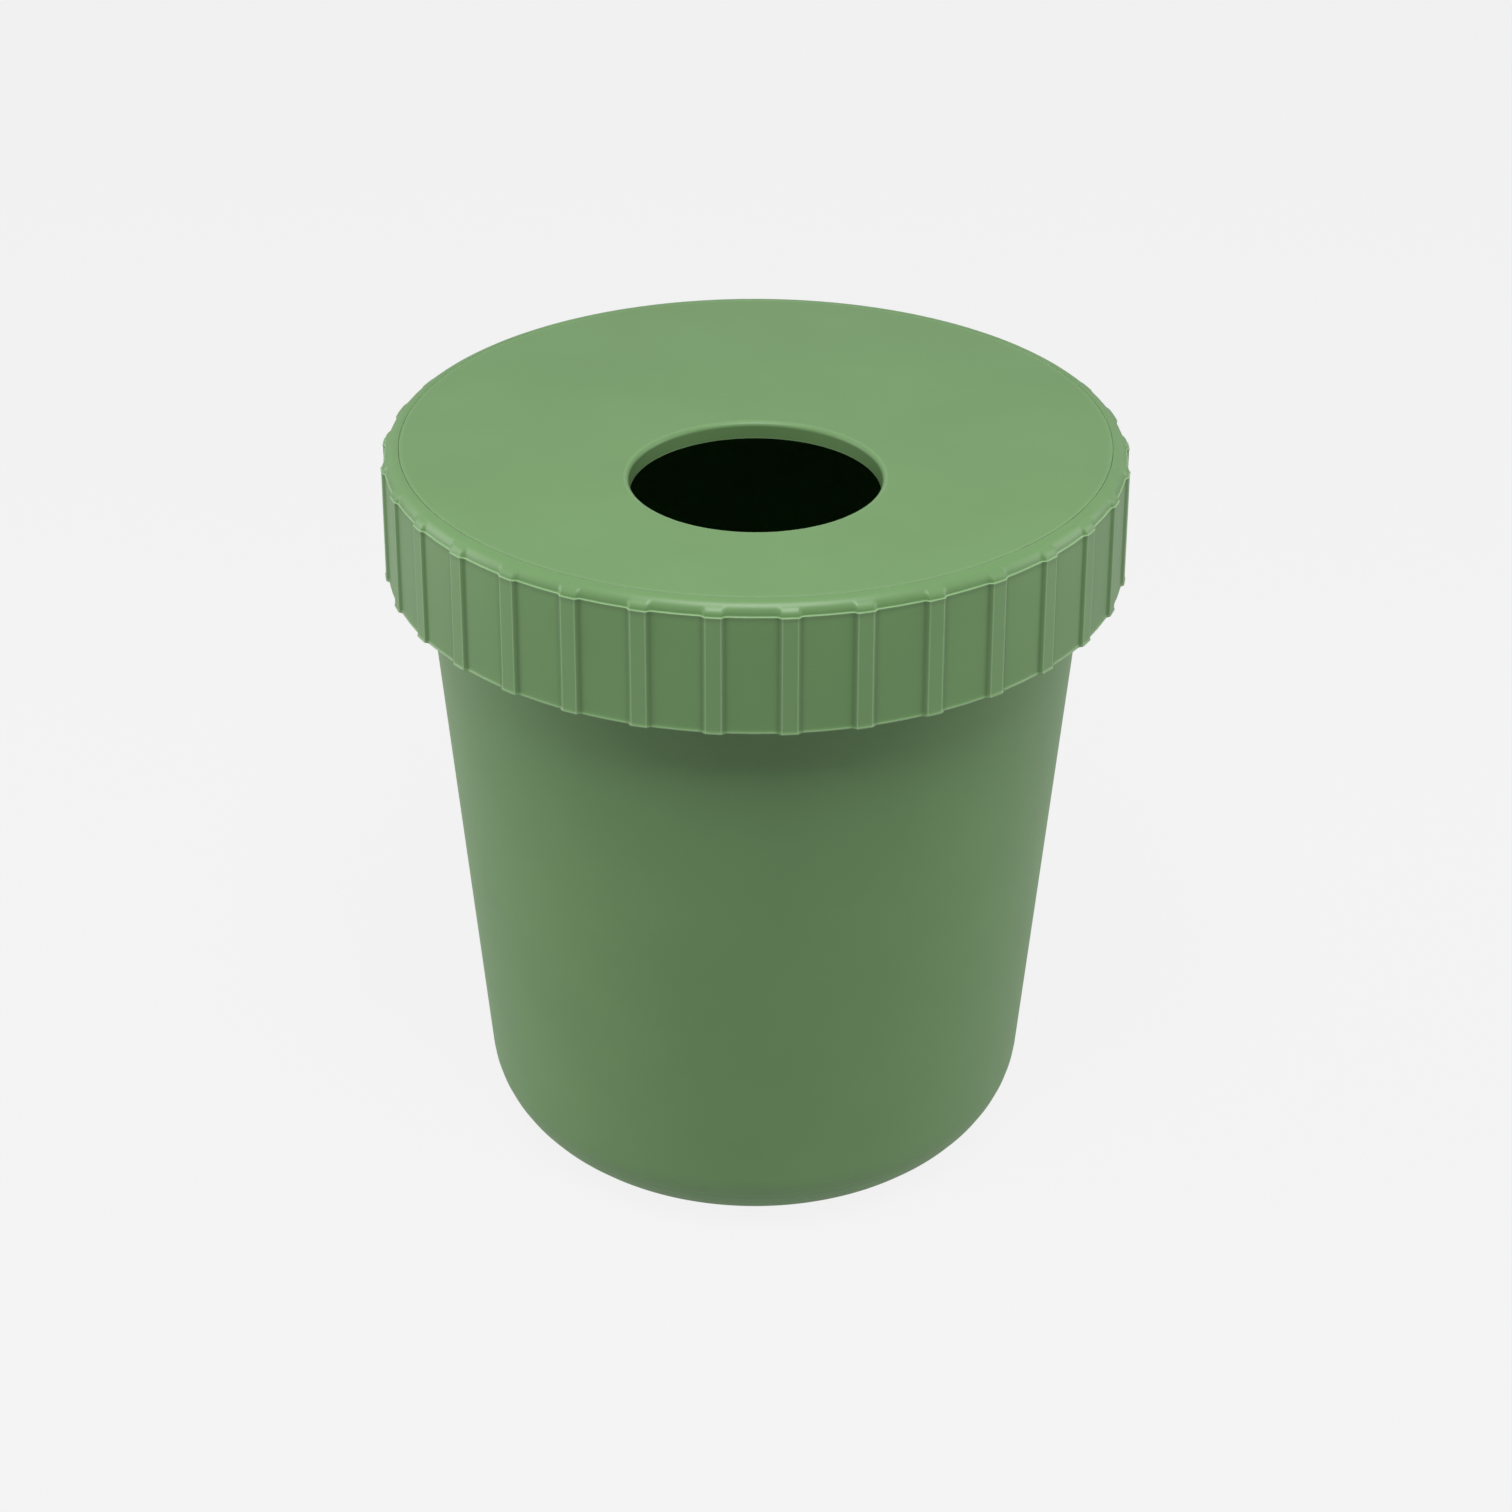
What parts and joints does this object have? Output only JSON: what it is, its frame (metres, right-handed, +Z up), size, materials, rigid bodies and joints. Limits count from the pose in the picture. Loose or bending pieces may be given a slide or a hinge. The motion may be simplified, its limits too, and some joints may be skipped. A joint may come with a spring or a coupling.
{
  "type": "wastebasket",
  "caption": "Round tapered wastebasket with a ribbed collar ring and a flat lid plate with an off-centre round opening.",
  "frame": {"origin": "centre of the base, on the floor", "axes": "+Z up along the basket's axis, -Y toward the side on which the lid's opening lies"},
  "size_m": [0.3172, 0.3166, 0.335],
  "materials": {
    "body_plastic": "fine satin-matte moulded, sage green",
    "collar_plastic": "fine satin-matte moulded, sage green",
    "lid_plastic": "fine satin-matte moulded, sage green"
  },
  "bodies": {
    "bin": {"bin_body": "body_plastic"},
    "collar": {"collar_ring": "collar_plastic"},
    "plate": {"lid_plate": "lid_plastic"}
  },
  "joints": [
    {"name": "collar_lift", "type": "slide", "parent": "bin", "child": "collar", "axis": [0, 0, 1], "range_m": [0, 0.12]},
    {"name": "plate_lift", "type": "slide", "parent": "collar", "child": "plate", "axis": [0, 0, 1], "range_m": [0, 0.08]}
  ]
}
